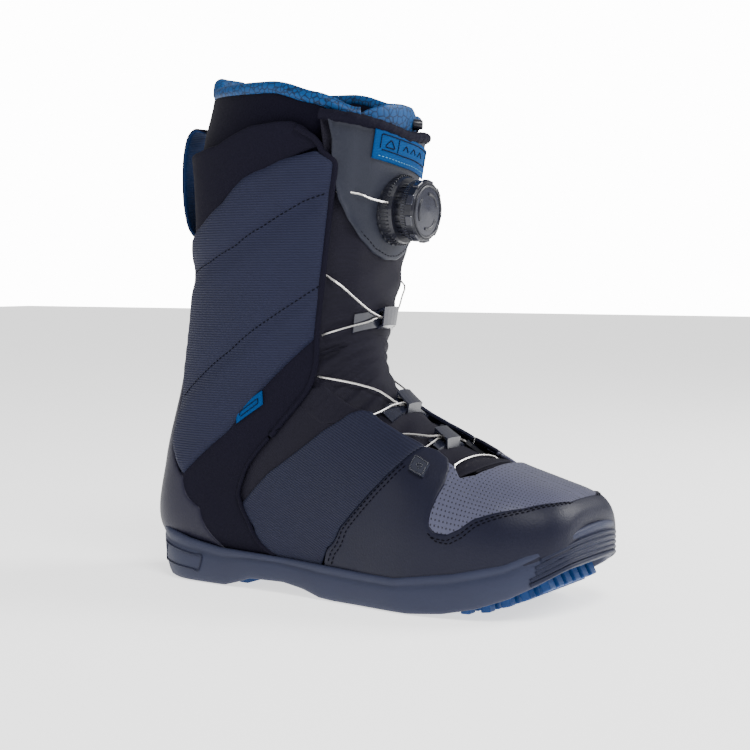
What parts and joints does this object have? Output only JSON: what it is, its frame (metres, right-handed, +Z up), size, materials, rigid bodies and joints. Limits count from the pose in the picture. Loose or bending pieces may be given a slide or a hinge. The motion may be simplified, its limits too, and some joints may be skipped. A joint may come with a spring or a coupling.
{
  "type": "snowboard boot",
  "caption": "Right snowboard boot with cup outsole, blue tread, sewn ribbed upper that flexes at the ankle, opening tongue, steel lace on a ratchet dial, foam liner and pull loop.",
  "frame": {"origin": "middle of the boot's outline on the floor", "axes": "+Z up, +X towards the toe, -Y towards the outer (lateral) side"},
  "size_m": [0.2966, 0.1156, 0.3127],
  "materials": {
    "outsole_rubber": "matt",
    "blue_rubber": "matt",
    "midsole_foam": "foam",
    "board": "pressed fibre",
    "synthetic_leather": "matt coated",
    "softshell": "smooth stretch fabric",
    "ribbed_fabric": "fine ribbed weave",
    "blue_fabric": "woven",
    "grey_plastic": "moulded",
    "liner_foam": "brushed",
    "black_plastic": "moulded",
    "steel": "stranded"
  },
  "bodies": {
    "lower": {"outsole": "outsole_rubber", "tread_heel": "blue_rubber", "tread_forefoot": "blue_rubber", "midsole": "midsole_foam", "lasting_board": "board", "heel_counter": "synthetic_leather", "ankle_band_lower_lateral": "softshell", "ankle_band_lower_medial": "softshell", "ankle_underlay_lateral": "softshell", "ankle_underlay_medial": "softshell", "quarter_lateral": "ribbed_fabric", "quarter_medial": "ribbed_fabric", "toe_vamp": "synthetic_leather", "toe_rand": "synthetic_leather", "tongue_lower": "softshell", "liner_foot": "liner_foam", "footbed": "blue_fabric", "lace_tube_3_lateral": "black_plastic", "lace_tube_3_medial": "black_plastic", "lace_tube_4_lateral": "black_plastic", "lace_tube_4_medial": "black_plastic", "lace_guide_middle": "black_plastic", "lace_guide_instep": "grey_plastic", "badge_medial": "black_plastic", "badge_lateral": "black_plastic"},
    "cuff": {"cuff_backstay": "synthetic_leather", "ankle_band_cuff_lateral": "softshell", "ankle_band_cuff_medial": "softshell", "cuff_panel_lateral": "ribbed_fabric", "cuff_panel_medial": "ribbed_fabric", "cuff_collar_lateral": "softshell", "cuff_collar_medial": "softshell", "pull_loop": "blue_fabric", "side_tag": "blue_fabric", "ankle_gusset_lateral": "softshell", "ankle_gusset_medial": "softshell", "tongue_crease": "softshell", "liner_cuff": "liner_foam", "lace_tube_1_lateral": "black_plastic", "lace_tube_1_medial": "black_plastic", "lace_tube_2_lateral": "black_plastic", "lace_tube_2_medial": "black_plastic", "liner_rim": "liner_foam"},
    "tongue": {"tongue_pad": "softshell", "tongue_shield": "grey_plastic", "tongue_binding": "softshell", "lace_guide_upper": "black_plastic", "dial_base": "black_plastic", "dial_screw": "steel", "lace": "steel", "tongue_label": "blue_fabric"},
    "liner_tongue": {"liner_tongue": "blue_fabric", "liner_lace_lock": "liner_foam"},
    "dial_drive": {"dial_ratchet": "grey_plastic"},
    "dial_knob": {"dial_knob": "black_plastic", "dial_cap": "black_plastic"},
    "dial_spool": {"dial_spool": "grey_plastic"}
  },
  "joints": [
    {"name": "cuff_flex", "type": "hinge", "parent": "lower", "child": "cuff", "pos_m": [-0.04837, -0.00048, 0.092], "axis": [0, 1, 0], "range_deg": [0, 10], "stiffness_Nm_per_rad": 60, "deforming": ["ankle_gusset_lateral", "ankle_gusset_medial", "tongue_crease"]},
    {"name": "tongue_open", "type": "hinge", "parent": "cuff", "child": "tongue", "pos_m": [0.00663, -0.00048, 0.152], "axis": [0, 1, 0], "range_deg": [0, 28], "stiffness_Nm_per_rad": 1.5, "springref_deg": -5.73, "deforming": ["lace"]},
    {"name": "liner_tongue_open", "type": "hinge", "parent": "cuff", "child": "liner_tongue", "pos_m": [0.00663, -0.00048, 0.152], "axis": [0, 1, 0], "range_deg": [0, 28]},
    {"name": "knob_pull", "type": "slide", "parent": "tongue", "child": "dial_drive", "axis": [0.9976, 0, -0.0698], "range_m": [0, 0.003]},
    {"name": "knob_turn", "type": "hinge", "parent": "dial_drive", "child": "dial_knob", "pos_m": [0.02011, -0.00048, 0.23062], "axis": [0.9976, 0, -0.0698], "continuous": true},
    {"name": "spool_turn", "type": "hinge", "parent": "tongue", "child": "dial_spool", "pos_m": [0.02011, -0.00048, 0.23062], "axis": [0.9976, 0, -0.0698], "continuous": true}
  ],
  "couplings": [
    {"joint": "liner_tongue_open", "follows": "tongue_open", "ratio": 1},
    {"joint": "spool_turn", "follows": "knob_turn", "ratio": 1}
  ]
}
